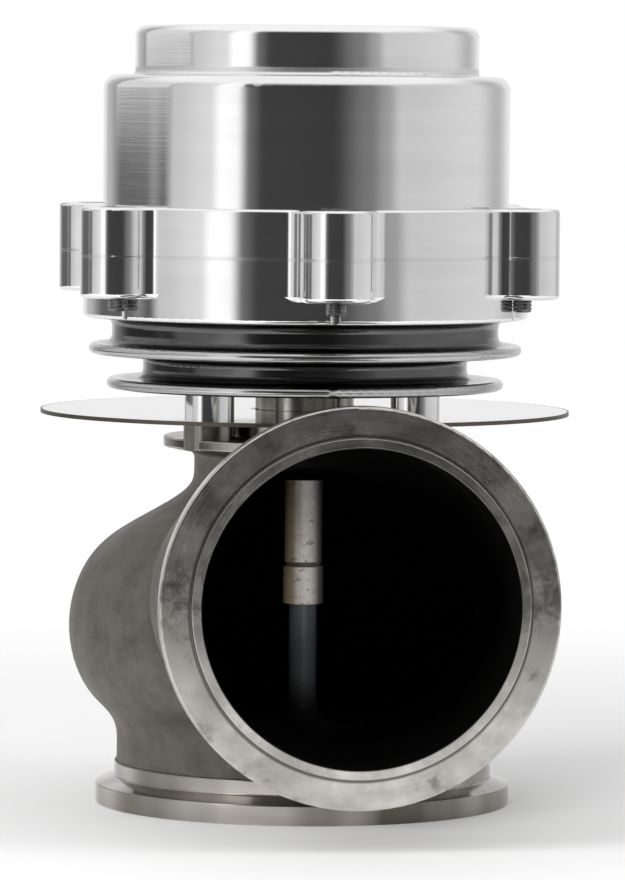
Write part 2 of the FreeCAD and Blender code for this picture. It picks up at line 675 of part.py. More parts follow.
def stem_nut():
    low = SPRING_SEAT_Z + WASHER_THICK
    nut = hexagon(NUT_FLATS, low, low + NUT_HEIGHT)
    return nut.cut(cylinder(STEM_THREAD_R + THREAD_GAP, low, low + NUT_HEIGHT))


def spring(mean_r, wire_r, pitch):
    """Coil ground flat on the piston and on the cap's ceiling, its wire drawn six-sided."""
    height = CAP_CEILING_Z - SPRING_SEAT_Z
    corners = []
    for i in range(6):
        turn = 2 * math.pi * i / 6
        corners.append(V(mean_r + wire_r * math.cos(turn), 0, wire_r * math.sin(turn)))
    section = Part.makePolygon(corners + corners[:1])
    coil = Part.Wire(Part.makeHelix(pitch, height, mean_r)).makePipeShell([section], True, True)
    coil = coil.common(cylinder(mean_r + 2 * wire_r, 0, height))
    coil.translate(V(0, 0, SPRING_SEAT_Z))
    return coil


NODES = {
    "valve_housing": valve_housing,
    "valve_seat": valve_seat,
    "valve_guide": valve_guide,
    "guide_gasket": guide_gasket,
    "heat_shield": heat_shield,
    "standoff_posts": standoff_posts,
    "mounting_screws": mounting_screws,
    "mounting_washers": mounting_washers,
    "actuator_base": actuator_base,
    "stem_bushing": stem_bushing,
    "stem_seal": stem_seal,
    "port_plug": port_plug,
    "diaphragm": diaphragm,
    "actuator_cap": actuator_cap,
    "cap_screws": cap_screws,
    "valve": valve,
    "diaphragm_plate": diaphragm_plate,
    "piston": piston,
    "stem_washer": stem_washer,
    "stem_nut": stem_nut,
}

for name, build in NODES.items():
    build().exportStep("parts/" + name + ".step")
room = PISTON_R - PISTON_WALL - SPRING_GAP
for name, wire_r, pitch in SPRINGS:
    spring(room - wire_r, wire_r, pitch).exportStep("parts/" + name + ".step")
    room -= 2 * wire_r + SPRING_GAP
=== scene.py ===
import bpy
import bmesh
import json
import math
from mathutils import Matrix, Vector


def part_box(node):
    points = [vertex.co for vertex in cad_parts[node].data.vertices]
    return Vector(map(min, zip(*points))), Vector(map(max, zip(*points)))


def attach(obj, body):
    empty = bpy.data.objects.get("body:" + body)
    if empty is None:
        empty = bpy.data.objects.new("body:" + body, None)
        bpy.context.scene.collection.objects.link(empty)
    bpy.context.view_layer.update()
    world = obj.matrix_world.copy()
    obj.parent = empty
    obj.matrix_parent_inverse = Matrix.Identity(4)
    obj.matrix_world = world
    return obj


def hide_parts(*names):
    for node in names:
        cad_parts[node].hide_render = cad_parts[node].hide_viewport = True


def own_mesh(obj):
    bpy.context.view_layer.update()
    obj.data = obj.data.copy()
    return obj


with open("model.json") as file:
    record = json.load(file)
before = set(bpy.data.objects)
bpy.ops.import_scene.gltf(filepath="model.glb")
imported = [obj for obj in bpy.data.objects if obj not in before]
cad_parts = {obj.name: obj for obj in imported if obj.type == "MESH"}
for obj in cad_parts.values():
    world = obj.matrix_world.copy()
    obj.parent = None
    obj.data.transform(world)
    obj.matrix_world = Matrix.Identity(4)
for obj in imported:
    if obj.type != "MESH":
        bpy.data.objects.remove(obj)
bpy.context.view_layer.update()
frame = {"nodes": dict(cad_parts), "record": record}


# ---- Valve housing --------------------------------------------------------------------------
# One stainless casting. The bulb, the outlet passage and the neck keep the fine grey skin of a ceramic
# mould; both V-band flanges, their bands and the top are turned afterwards. Inside, the gas side is
# painted near black as shade, and a ring of painted shade lies round the foot of the outlet's locating
# lip.

def put(tree, socket, value):
    """Feeds a socket from another socket, or sets its value."""
    if isinstance(value, bpy.types.NodeSocket):
        tree.links.new(value, socket)
    else:
        socket.default_value = value


def node(tree, kind, settings=(), **inputs):
    """Adds a shader node; its inputs go by socket name, with _ for a blank."""
    made = tree.nodes.new("ShaderNode" + kind)
    for name, value in dict(settings).items():
        setattr(made, name, value)
    for name, value in inputs.items():
        put(tree, made.inputs[name.replace("_", " ")], value)
    return made


def maths(tree, operation, *values):
    """Adds a maths node fed with these values."""
    made = tree.nodes.new("ShaderNodeMath")
    made.operation = operation
    for socket, value in zip(made.inputs, values):
        put(tree, socket, value)
    return made.outputs[0]


def length(tree, a, b):
    """Length of the right-angled pair a, b."""
    squares = maths(tree, "MULTIPLY_ADD", a, a, maths(tree, "MULTIPLY", b, b))
    return maths(tree, "SQRT", squares)


def apart(tree, value, place):
    """How far a value lies from a place on its axis."""
    return maths(tree, "ABSOLUTE", maths(tree, "SUBTRACT", value, place))


def axes(tree, place):
    """The place's x, y and z, also by name."""
    return node(tree, "SeparateXYZ", Vector=place).outputs


def noise(tree, place, scale, detail, roughness=0.5):
    """Soft cloudy value over the place, mostly between 0.3 and 0.7."""
    made = node(tree, "TexNoise", Vector=place, Scale=scale, Detail=detail, Roughness=roughness)
    return made.outputs[0]


def spread(tree, value, low, high):
    """The value with the range from low to high opened out to 0 to 1."""
    return node(tree, "MapRange", Value=value, From_Min=low, From_Max=high).outputs[0]


def above(tree, value, edge, softness):
    """Mask that rises from 0 to 1 where the value passes the edge."""
    return node(tree, "MapRange", {"interpolation_type": "SMOOTHSTEP"}, Value=value,
                From_Min=edge - softness / 2, From_Max=edge + softness / 2).outputs[0]


def below(tree, value, edge, softness):
    """Mask that falls from 1 to 0 where the value passes the edge."""
    return maths(tree, "SUBTRACT", 1.0, above(tree, value, edge, softness))


def both(tree, first, second):
    """Mask of where both masks are up."""
    return maths(tree, "MULTIPLY", first, second)


def either(tree, *masks):
    """Mask of where any one of the masks is up."""
    whole = masks[0]
    for mask in masks[1:]:
        whole = maths(tree, "MAXIMUM", whole, mask)
    return whole


# Kinds of mix: the node's data type, its inputs for both ends, and its output
MIXES = {"VALUE": ("FLOAT", 2, 3, 0), "VECTOR": ("VECTOR", 4, 5, 1), "RGBA": ("RGBA", 6, 7, 2)}


def mixed(tree, factor, a, b):
    """Value, vector or colour between a and b, whichever of them b is."""
    if isinstance(b, bpy.types.NodeSocket):
        kind = b.type
    else:
        kind = "RGBA" if isinstance(b, tuple) else "VALUE"
    made = tree.nodes.new("ShaderNodeMix")
    made.data_type, at_a, at_b, out = MIXES[kind]
    put(tree, made.inputs[0], factor)
    put(tree, made.inputs[at_a], a)
    put(tree, made.inputs[at_b], b)
    return made.outputs[out]


def grey(level, warmth=0.0):
    """Grey as a colour, tinted towards straw by its warmth."""
    return (level * (1 + warmth), level, level * (1 - 1.6 * warmth), 1.0)


def new_group(name, inputs, outputs):
    """Empty shader group with these sockets: the group, its input node and its output node."""
    group = bpy.data.node_groups.new(name, "ShaderNodeTree")
    for socket, kind in inputs:
        group.interface.new_socket(name=socket, in_out="INPUT", socket_type="NodeSocket" + kind)
    for socket, kind in outputs:
        group.interface.new_socket(name=socket, in_out="OUTPUT", socket_type="NodeSocket" + kind)
    return group, group.nodes.new("NodeGroupInput").outputs, group.nodes.new("NodeGroupOutput").inputs


def use(tree, group, **inputs):
    """Places a shader group in a material and returns its outputs."""
    made = node(tree, "Group", {"node_tree": group})
    for name, value in inputs.items():
        put(tree, made.inputs[name.replace("_", " ")], value)
    return made.outputs


def casting_skin():
    """Skin of an investment casting: an even fine grain, small pits and broad faint patches."""
    group, given, result = new_group(
        "casting_skin", [("Place", "Vector"), ("Grain", "Float")],
        [("Height", "Float"), ("Patches", "Float"), ("Pits", "Float")])
    place = given["Place"]
    fine = noise(group, place, maths(group, "DIVIDE", 1.0, given["Grain"]), 4.0, 0.7)
    coarse = noise(group, place, maths(group, "DIVIDE", 0.15, given["Grain"]), 2.0)
    cells = node(group, "TexVoronoi", Vector=place,
                 Scale=maths(group, "DIVIDE", 0.3, given["Grain"])).outputs["Distance"]
    flat = above(group, cells, 0.10, 0.10)
    height = maths(group, "MULTIPLY_ADD", fine, 0.55, maths(group, "MULTIPLY", coarse, 0.8))
    put(group, result["Height"], maths(group, "MULTIPLY_ADD", flat, 0.15, height))
    put(group, result["Patches"], spread(group, noise(group, place, 60.0, 5.0, 0.62), 0.3, 0.7))
    put(group, result["Pits"], maths(group, "SUBTRACT", 1.0, flat))
    return group


def turned_marks():
    """Tool marks that a lathe leaves round the Z axis of the given place."""
    group, given, result = new_group(
        "turned_marks", [("Place", "Vector"), ("Spacing", "Float")],
        [("Marks", "Float"), ("Smears", "Float")])
    x, y, z = axes(group, given["Place"])
    radius = length(group, x, y)
    turn = maths(group, "ARCTAN2", y, x)
    fine = node(group, "CombineXYZ", X=radius, Y=z, Z=maths(group, "MULTIPLY", turn, 0.0006)).outputs[0]
    broad = node(group, "CombineXYZ", X=radius, Y=z, Z=maths(group, "MULTIPLY", turn, 0.006)).outputs[0]
    marks = noise(group, fine, maths(group, "DIVIDE", 1.0, given["Spacing"]), 3.0, 0.7)
    put(group, result["Marks"], marks)
    put(group, result["Smears"], spread(group, noise(group, broad, 160.0, 4.0, 0.6), 0.3, 0.7))
    return group


CASTING_SKIN = casting_skin()
TURNED_MARKS = turned_marks()


def new_material(name, metallic=1.0):
    """Material with a Principled shader: itself, its tree, the shader and the place in the piece."""
    material = bpy.data.materials.new(name)
    material.use_nodes = True
    tree = material.node_tree
    shader = next(n for n in tree.nodes if n.type == "BSDF_PRINCIPLED")
    shader.inputs["Metallic"].default_value = metallic
    return material, tree, shader.inputs, node(tree, "TexCoord").outputs["Object"]


def dress(name, material):
    """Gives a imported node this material."""
    mesh = frame["nodes"][name].data
    mesh.materials.clear()
    mesh.materials.append(material)


def bumped(tree, height, strength, depth):
    """Normal of a skin with this relief, its full depth in metres."""
    return node(tree, "Bump", Height=height, Strength=strength, Distance=depth).outputs[0]


OUTLET_Z = next(m for m in frame["record"]["mounts"] if m["name"] == "outlet_port")["pos_m"][2]
OUTLET_BORE_R, LIP_R = 0.0304, 0.0324
OUTLET_BORE_END_Y = -0.0720
# Where the turned bands of the two flanges and of the top give way to the cast skin
OUTLET_BAND_Y, INLET_BAND_Z = -0.0763, 0.0083
TOP_BAND_Z, TOP_BAND_R = 0.0722, 0.0289
# Middle of the cast wall: radius of the bulb by height, then half the width and half the height
# of the passage by how far forward it is
BULB_WALL = ((0.0, 0.034), (0.013, 0.034), (0.0213, 0.0402), (0.0365, 0.0453), (0.051, 0.0402),
             (0.0602, 0.0266), (0.0646, 0.0208), (0.0702, 0.0203))
ROOF_WALL_Z = BULB_WALL[-1][0]
PASSAGE_WALL_X = ((0.0, 0.0243), (0.012, 0.0243), (0.032, 0.0323), (0.049, 0.0341), (0.062, 0.0327))
PASSAGE_WALL_Z = ((0.0, 0.024), (0.012, 0.024), (0.032, 0.0271), (0.049, 0.0296), (0.062, 0.031))
PASSAGE_MIDDLE_Z = 0.0453


def along_curve(tree, value, points):
    """Smooth curve through (value, result) pairs in metres, level beyond both ends."""
    curve_node = tree.nodes.new("ShaderNodeFloatCurve")
    curve = curve_node.mapping.curves[0]
    reach, top = points[-1][0], 0.05
    for at, result in points[1:-1]:
        curve.points.new(at / reach, result / top)
    curve.points[0].location = (points[0][0] / reach, points[0][1] / top)
    curve.points[-1].location = (1.0, points[-1][1] / top)
    curve_node.mapping.update()
    put(tree, curve_node.inputs["Value"], maths(tree, "DIVIDE", value, reach))
    return maths(tree, "MULTIPLY", curve_node.outputs[0], top)


def gas_side(tree, place):
    """Mask of all that lies inside the middle of the wall: bulb, passage and outlet bore."""
    x, y, z = axes(tree, place)
    from_wall = maths(tree, "SUBTRACT", length(tree, x, y), along_curve(tree, z, BULB_WALL))
    in_bulb = both(tree, below(tree, from_wall, 0.0, 0.0004), below(tree, z, ROOF_WALL_Z, 0.0002))
    forward = maths(tree, "MULTIPLY", y, -1.0)
    from_middle = maths(tree, "SUBTRACT", z, PASSAGE_MIDDLE_Z)
    oval = length(tree, maths(tree, "DIVIDE", x, along_curve(tree, forward, PASSAGE_WALL_X)),
                  maths(tree, "DIVIDE", from_middle, along_curve(tree, forward, PASSAGE_WALL_Z)))
    in_passage = both(tree, below(tree, oval, 1.0, 0.02), below(tree, y, -0.008, 0.001))
    behind_bore = above(tree, y, OUTLET_BORE_END_Y - 0.0005, 0.001)
    outlet_r = length(tree, x, maths(tree, "SUBTRACT", z, OUTLET_Z))
    in_bore = both(tree, below(tree, y, OUTLET_BORE_END_Y + 0.0005, 0.001),
                   below(tree, outlet_r, OUTLET_BORE_R + 0.0002, 0.0003))
    return either(tree, in_bulb, both(tree, in_passage, behind_bore), in_bore)


def stainless_casting():
    """Grey cast skin with painted shade and highlight on its grain, turned bands with stains and painted
    shade and reflection, and painted shade on the gas side.
    """
    material, tree, shader, place = new_material("stainless_casting")
    x, y, z = axes(tree, place)
    outlet_up = maths(tree, "SUBTRACT", z, OUTLET_Z)
    on_outlet = below(tree, y, OUTLET_BAND_Y, 0.0002)
    on_inlet = below(tree, z, INLET_BAND_Z, 0.0002)
    on_top = both(tree, above(tree, z, TOP_BAND_Z, 0.0002),
                  below(tree, length(tree, x, y), TOP_BAND_R, 0.0002))
    machined = either(tree, on_outlet, on_inlet, on_top)

    from_outlet = node(tree, "CombineXYZ", X=x, Y=outlet_up, Z=y).outputs[0]
    upright = use(tree, TURNED_MARKS, Place=place, Spacing=0.0003)
    facing = use(tree, TURNED_MARKS, Place=from_outlet, Spacing=0.0003)
    marks = mixed(tree, on_outlet, upright["Marks"], facing["Marks"])
    smears = mixed(tree, on_outlet, upright["Smears"], facing["Smears"])

    # Painted shade in a ring at the foot of the lip and in smudges across the middle, and blotches where
    # the gasket leaked
    lip_foot_shade = below(tree, apart(tree, length(tree, x, outlet_up), LIP_R + 0.0002), 0.00035, 0.0005)
    blots = above(tree, noise(tree, place, 150.0, 6.0, 0.7), 0.62, 0.16)
    middle_painted_shade = both(tree, below(tree, apart(tree, z, OUTLET_Z + 0.003), 0.007, 0.010),
                  above(tree, noise(tree, place, 260.0, 6.0, 0.75), 0.48, 0.18))
    stains_and_painted_shade = either(tree, maths(tree, "MULTIPLY", lip_foot_shade, 0.9), maths(tree, "MULTIPLY", blots, 0.55),
                    maths(tree, "MULTIPLY", middle_painted_shade, 0.62))

    skin = use(tree, CASTING_SKIN, Place=place, Grain=0.0008)
    cast = mixed(tree, skin["Patches"], grey(0.085, 0.09), grey(0.165, 0.075))
    cast = mixed(tree, maths(tree, "MULTIPLY", skin["Pits"], 0.3), cast, grey(0.12, 0.06))
    # Painted shade in the grain's low spots and painted highlight on its raised grain.
    cast = mixed(tree, maths(tree, "MULTIPLY", spread(tree, skin["Height"], 0.45, 0.95), 0.55),
                 mixed(tree, 0.25, cast, grey(0.02)), grey(0.27, 0.075))

    bright = mixed(tree, smears, grey(0.50, 0.03), grey(0.66, 0.03))
    mottle = spread(tree, noise(tree, place, 95.0, 6.0, 0.68), 0.36, 0.64)
    bright = mixed(tree, maths(tree, "MULTIPLY", mottle, 0.5), bright, grey(0.34, 0.07))
    # Painted reflection: the inlet flange and the top are painted in warm dark and bright bands by turns
    # round the rim
    round_rim = maths(tree, "MULTIPLY", maths(tree, "ARCTAN2", x, y), 1.7)
    wiped = node(tree, "TexNoise", {"noise_dimensions": "1D"}, W=round_rim, Scale=0.75, Detail=2.0,
                 Roughness=0.5).outputs[0]
    straw = mixed(tree, spread(tree, wiped, 0.40, 0.62), grey(0.13, 0.09),
                  mixed(tree, smears, grey(0.42, 0.05), grey(0.62, 0.04)))
    bright = mixed(tree, either(tree, on_inlet, on_top), bright, straw)
    # The outlet band takes the gasket stains and the painted shade.
    bright = mixed(tree, both(tree, on_outlet, stains_and_painted_shade), bright, grey(0.10, 0.06))

    # The whole gas side is painted near black as shade.
    gas_side_painted_shade = gas_side(tree, place)
    colour = mixed(tree, machined, cast, bright)
    put(tree, shader["Base Color"], mixed(tree, gas_side_painted_shade, colour, grey(0.012, 0.05)))
    turned_rough = maths(tree, "MULTIPLY_ADD", marks, 0.1, 0.1)
    rough = mixed(tree, machined, maths(tree, "MULTIPLY_ADD", skin["Patches"], 0.14, 0.42),
                  maths(tree, "MULTIPLY_ADD", mottle, 0.12, turned_rough))
    rough = mixed(tree, on_inlet, rough, maths(tree, "MULTIPLY_ADD", marks, 0.12, 0.07))
    put(tree, shader["Roughness"], mixed(tree, gas_side_painted_shade, rough, 0.7))
    put(tree, shader["Normal"], mixed(tree, machined, bumped(tree, skin["Height"], 0.95, 0.0006),
                                      bumped(tree, marks, 0.05, 0.00008)))
    return material


dress("valve_housing", stainless_casting())


# ---- Valve seat -----------------------------------------------------------------------------
# Hardened ring in the inlet, ground on its 45 degree face. The pipe's flange holds it in, and
# hot gas has darkened the bore to a brown straw.

SEAT_BORE_R = 0.0280


def seat_steel():
    material, tree, shader, place = new_material("seat_steel")
    turned = use(tree, TURNED_MARKS, Place=place, Spacing=0.0002)
    x, y = axes(tree, place)[:2]
    in_bore = below(tree, length(tree, x, y), SEAT_BORE_R + 0.0004, 0.0004)
    colour = mixed(tree, turned["Smears"], grey(0.44, 0.03), grey(0.62, 0.02))
    put(tree, shader["Base Color"], mixed(tree, in_bore, colour, grey(0.16, 0.10)))
    put(tree, shader["Roughness"], maths(tree, "MULTIPLY_ADD", turned["Marks"], 0.25, 0.18))
    put(tree, shader["Normal"], bumped(tree, turned["Marks"], 0.2, 0.00008))
    return material


dress("valve_seat", seat_steel())


# ---- Valve guide ----------------------------------------------------------------------------
# Turned bronze sleeve pressed in the roof's boss, with a grooved collar at its foot. It is pale where
# the gas has scoured it and is freckled with small dark pits; its groove is painted dark as shade, its
# left side a warm lit tone and its right side dark shade.

GROOVE_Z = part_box("valve_guide")[0][2] + 0.0081


def guide_bronze():
    material, tree, shader, place = new_material("guide_bronze", metallic=0.35)
    turned = use(tree, TURNED_MARKS, Place=place, Spacing=0.0004)
    along = axes(tree, place)
    in_groove = below(tree, apart(tree, along["Z"], GROOVE_Z), 0.0005, 0.0002)
    freckles_and_groove_shade = maths(tree, "MULTIPLY", above(tree, noise(tree, place, 900.0, 3.0, 0.7), 0.62, 0.12), 0.7)
    # The groove takes the freckles' dark colour as painted shade.
    freckles_and_groove_shade = either(tree, freckles_and_groove_shade, in_groove)
    colour = mixed(tree, turned["Smears"], grey(0.56, 0.06), grey(0.78, 0.04))
    # Painted light and shade: the left side (-x) is painted a warm lit tone and the right side (+x) dark
    # shade
    colour = mixed(tree, below(tree, along["X"], -0.0022, 0.0012), colour, (0.42, 0.34, 0.20, 1))
    colour = mixed(tree, above(tree, along["X"], 0.0020, 0.0022), colour, (0.13, 0.11, 0.12, 1))
    put(tree, shader["Base Color"], mixed(tree, freckles_and_groove_shade, colour, grey(0.10, 0.12)))
    put(tree, shader["Roughness"], maths(tree, "MULTIPLY_ADD", turned["Smears"], 0.15, 0.34))
    relief = maths(tree, "SUBTRACT", turned["Marks"], freckles_and_groove_shade)
    put(tree, shader["Normal"], bumped(tree, relief, 0.3, 0.0001))
    return material


dress("valve_guide", guide_bronze())


# ---- Guide gasket ---------------------------------------------------------------------------
# Disc of pressed fibre, speckled light and dark, cut to the tower's spigot. It is nipped between
# the spigot and the stem's bushing and keeps the body's heat out of the actuator.

def pressed_fibre():
    material, tree, shader, place = new_material("pressed_fibre", metallic=0.0)
    strands = node(tree, "TexNoise", Vector=place, Scale=2600.0, Detail=5.0, Distortion=1.5).outputs[0]
    put(tree, shader["Base Color"], mixed(tree, strands, grey(0.16, 0.08), grey(0.42, 0.08)))
    shader["Roughness"].default_value = 0.9
    put(tree, shader["Normal"], bumped(tree, strands, 0.5, 0.0001))
    return material


dress("guide_gasket", pressed_fibre())


# ---- Heat shield ----------------------------------------------------------------------------
# Thin stainless disc, clamped between the body's pads and the posts. It is cut from mirror
# polished sheet, with a few fine wiping scratches.

def mirror_sheet():
    material, tree, shader, place = new_material("mirror_sheet")
    along_wipe = node(tree, "Mapping", Vector=place, Rotation=(0, 0, 0.5),
                      Scale=(1.0, 14.0, 1.0)).outputs[0]
    wiped = noise(tree, along_wipe, 180.0, 5.0, 0.7)
    x, y = axes(tree, place)[:2]
    cut_edge = above(tree, length(tree, x, y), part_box("heat_shield")[1][0] - 0.00035, 0.0002)
    sheet = mixed(tree, wiped, grey(0.82, 0.004), grey(0.90, 0.002))
    put(tree, shader["Base Color"], mixed(tree, cut_edge, sheet, grey(0.10, 0.12)))
    rough = maths(tree, "MULTIPLY_ADD", wiped, 0.07, 0.01)
    put(tree, shader["Roughness"], mixed(tree, cut_edge, rough, 0.4))
    return material


dress("heat_shield", mirror_sheet())


# ---- Posts, washers and mounting screws -----------------------------------------------------
# Three polished posts stand the actuator off the shield. A black socket screw with a plated
# washer goes down each one from inside the base into the body's pad.

def turned_metal(name, dark, light, roughness, change, bump=0.1):
    """Metal turned on a lathe: faint rings of tone, gloss and height round the Z axis."""
    material, tree, shader, place = new_material(name)
    turned = use(tree, TURNED_MARKS, Place=place, Spacing=0.0003)
    put(tree, shader["Base Color"], mixed(tree, turned["Smears"], dark, light))
    put(tree, shader["Roughness"], maths(tree, "MULTIPLY_ADD", turned["Marks"], change, roughness))
    put(tree, shader["Normal"], bumped(tree, turned["Marks"], bump, 0.00008))
    return material


def plated_steel():
    """Zinc plating: cool pale metal, finely mottled."""
    material, tree, shader, place = new_material("plated_steel")
    mottle = noise(tree, place, 900.0, 4.0)
    put(tree, shader["Base Color"], mixed(tree, mottle, (0.50, 0.51, 0.53, 1), (0.72, 0.73, 0.75, 1)))
    put(tree, shader["Roughness"], maths(tree, "MULTIPLY_ADD", mottle, 0.2, 0.2))
    put(tree, shader["Normal"], bumped(tree, mottle, 0.15, 0.00008))
    return material


def black_oxide():
    """Oiled black finish, paler and duller in clouds."""
    material, tree, shader, place = new_material("black_oxide")
    bloom = noise(tree, place, 700.0, 5.0)
    put(tree, shader["Base Color"], mixed(tree, bloom, grey(0.035), grey(0.10)))
    put(tree, shader["Roughness"], maths(tree, "MULTIPLY_ADD", bloom, 0.2, 0.3))
    put(tree, shader["Normal"], bumped(tree, bloom, 0.1, 0.0001))
    return material


PLATED_STEEL = plated_steel()
dress("standoff_posts", turned_metal("polished_post", grey(0.80), grey(0.90), 0.03, 0.06, bump=0.05))
dress("mounting_washers", PLATED_STEEL)
dress("mounting_screws", black_oxide())


# ---- Actuator base --------------------------------------------------------------------------
# Billet aluminium, turned with two deep cooling fins below the lobed ring and polished bright outside,
# so that only faint rings of the tool are left. Between the fins it stays dull, and the fins are painted
# dark as shade.

SPLIT_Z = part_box("actuator_cap")[0][2]
RING_FOOT_Z = SPLIT_Z - 0.0129
BETWEEN_FINS_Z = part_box("actuator_base")[0][2] + 0.0045
# Where the bright rims of the lower and the upper fin start
LOWER_RIM_R, UPPER_RIM_R = 0.0372, 0.0415
# Foot of the cap's step, left matt by the wheel
STEP_FOOT_Z, STEP_FOOT_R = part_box("actuator_cap")[1][2] - 0.0094, 0.0368


def polished_aluminium():
    """Bright skin, dull between the fins where the wheel can't reach, fins painted dark as shade, and
    smooth over the split.
    """
    material, tree, shader, place = new_material("polished_aluminium")
    turned = use(tree, TURNED_MARKS, Place=place, Spacing=0.00045)
    x, y, z = axes(tree, place)
    radius = length(tree, x, y)
    at_fins = below(tree, z, RING_FOOT_Z, 0.0006)
    at_split = below(tree, apart(tree, z, SPLIT_Z), 0.0004, 0.0002)
    at_step = both(tree, below(tree, apart(tree, z, STEP_FOOT_Z), 0.0011, 0.0004),
                   below(tree, radius, STEP_FOOT_R, 0.0003))

    rim_r = mixed(tree, above(tree, z, BETWEEN_FINS_Z, 0.0005), LOWER_RIM_R, UPPER_RIM_R)
    on_rim = above(tree, maths(tree, "SUBTRACT", radius, rim_r), 0.0, 0.002)
    # The fins are painted dark as shade: near black in the hollows between them and mid grey on their
    # rims.
    hollow_painted_shade = mixed(tree, turned["Smears"], grey(0.09), grey(0.15))
    fins = mixed(tree, on_rim, hollow_painted_shade, grey(0.52))
    skin = mixed(tree, turned["Smears"], grey(0.84), grey(0.93))
    put(tree, shader["Base Color"], mixed(tree, at_split, mixed(tree, at_fins, skin, fins), grey(0.82)))

    rough = mixed(tree, at_fins, maths(tree, "MULTIPLY_ADD", turned["Marks"], 0.075, 0.045),
                  maths(tree, "MULTIPLY_ADD", turned["Marks"], 0.10, 0.09))
    rough = mixed(tree, at_step, rough, 0.38)
    put(tree, shader["Roughness"], mixed(tree, at_split, rough, 0.16))

    # The split's chamfers are shaded as part of the wall, so that they don't glint
    upright = node(tree, "VectorMath", {"operation": "MULTIPLY"},
                   Vector=node(tree, "NewGeometry").outputs["Normal"])
    upright.inputs[1].default_value = (1, 1, 0)
    upright = node(tree, "VectorMath", {"operation": "NORMALIZE"}, Vector=upright.outputs[0]).outputs[0]
    marks = bumped(tree, turned["Marks"], 0.03, 0.00008)
    put(tree, shader["Normal"], mixed(tree, at_split, marks, upright))
    return material


POLISHED_ALUMINIUM = polished_aluminium()
dress("actuator_base", POLISHED_ALUMINIUM)


# ---- Stem bushing and seal ------------------------------------------------------------------
# Sintered bronze bushing in the base's floor, and over it a moulded rubber ring that wipes the
# stem with three fine lips.

def sintered_bronze():
    material, tree, shader, place = new_material("sintered_bronze")
    grains = node(tree, "TexVoronoi", Vector=place, Scale=3200.0).outputs["Distance"]
    put(tree, shader["Base Color"], mixed(tree, grains, (0.30, 0.20, 0.09, 1), (0.62, 0.45, 0.22, 1)))
    put(tree, shader["Roughness"], maths(tree, "MULTIPLY_ADD", grains, 0.2, 0.4))
    put(tree, shader["Normal"], bumped(tree, grains, 0.3, 0.0001))
    return material


def finish_piece(name, body, built):
    """Turns the built mesh into a smooth-shaded object that rides on its body."""
    mesh = bpy.data.meshes.new(name)
    built.to_mesh(mesh)
    built.free()
    mesh.shade_smooth()
    mesh.set_sharp_from_angle(angle=math.radians(35))
    piece = bpy.data.objects.new(name, mesh)
    bpy.context.scene.collection.objects.link(piece)
    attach(piece, body)
    return piece


def turned_piece(name, body, outline, steps):
    """Solid of revolution about Z through a closed outline of (radius, height) in metres."""
    built = bmesh.new()
    rings = []
    for i in range(steps):
        turn = 2 * math.pi * i / steps
        rings.append([built.verts.new((r * math.cos(turn), r * math.sin(turn), z)) for r, z in outline])
    for ring, after in zip(rings, rings[1:] + rings[:1]):
        for j in range(len(outline)):
            k = (j + 1) % len(outline)
            built.faces.new((ring[j], after[j], after[k], ring[k]))
    bmesh.ops.recalc_face_normals(built, faces=built.faces)
    return finish_piece(name, body, built)


def moulded_rubber(name, dark, light):
    """Matt rubber with a faint cloudy bloom."""
    material, tree, shader, place = new_material(name, metallic=0.0)
    bloom = noise(tree, place, 400.0, 5.0)
    put(tree, shader["Base Color"], mixed(tree, bloom, dark, light))
    put(tree, shader["Roughness"], maths(tree, "MULTIPLY_ADD", bloom, 0.2, 0.5))
    put(tree, shader["Normal"], bumped(tree, bloom, 0.2, 0.0001))
    return material


STEM_BORE_R = 0.00293
SEAL_LIPS, SEAL_LIP_DEPTH = 3, 0.0011


def stem_seal():
    """Ring whose bore runs in over three lips, each a short groove and a slope in to the stem."""
    low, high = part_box("stem_seal")
    pitch = (high[2] - low[2]) / SEAL_LIPS
    groove_r = STEM_BORE_R + SEAL_LIP_DEPTH
    outline = [(high[0], low[2]), (high[0], high[2])]
    for i in range(SEAL_LIPS):
        top = high[2] - pitch * i
        outline += [(groove_r, top), (groove_r, top - 0.25 * pitch),
                    (STEM_BORE_R, top - 0.6 * pitch), (STEM_BORE_R, top - 0.8 * pitch)]
    outline.append((groove_r, low[2]))
    piece = turned_piece("stem_seal_lips", "housing", outline, 96)
    piece.data.materials.append(moulded_rubber("seal_rubber", grey(0.012), grey(0.03)))
    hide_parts("stem_seal")


dress("stem_bushing", sintered_bronze())
stem_seal()


# ---- Port plug ------------------------------------------------------------------------------
# Zinc plated steel pipe plug with a hex socket. Its taper thread is screwed into the base's spare
# air port until it seals.

dress("port_plug", PLATED_STEEL)


# ---- Valve ----------------------------------------------------------------------------------
# One forging: a flat poppet head with a tall rim, and its stem. Scale from the gas darkens it up
# to the top of the guide, most of all the head, and the stem is ground bright above.

SCALE_TOP_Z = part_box("valve_guide")[1][2] - 0.004
SOOT_TOP_Z = 0.0225


def forged_valve():
    material, tree, shader, place = new_material("forged_valve")
    turned = use(tree, TURNED_MARKS, Place=place, Spacing=0.0003)
    z = axes(tree, place)["Z"]
    scaled = below(tree, z, SCALE_TOP_Z, 0.004)
    dark = mixed(tree, turned["Smears"], (0.055, 0.058, 0.06, 1), (0.10, 0.105, 0.11, 1))
    dark = mixed(tree, below(tree, z, SOOT_TOP_Z, 0.009), dark, (0.014, 0.013, 0.012, 1))
    bright = mixed(tree, turned["Smears"], grey(0.5, 0.01), grey(0.62, 0.01))
    put(tree, shader["Base Color"], mixed(tree, scaled, bright, dark))
    put(tree, shader["Metallic"], mixed(tree, scaled, 1.0, 0.25))
    put(tree, shader["Roughness"], maths(tree, "MULTIPLY_ADD", turned["Marks"], 0.2, 0.2))
    put(tree, shader["Normal"], bumped(tree, turned["Marks"], 0.1, 0.00008))
    return material


dress("valve", forged_valve())


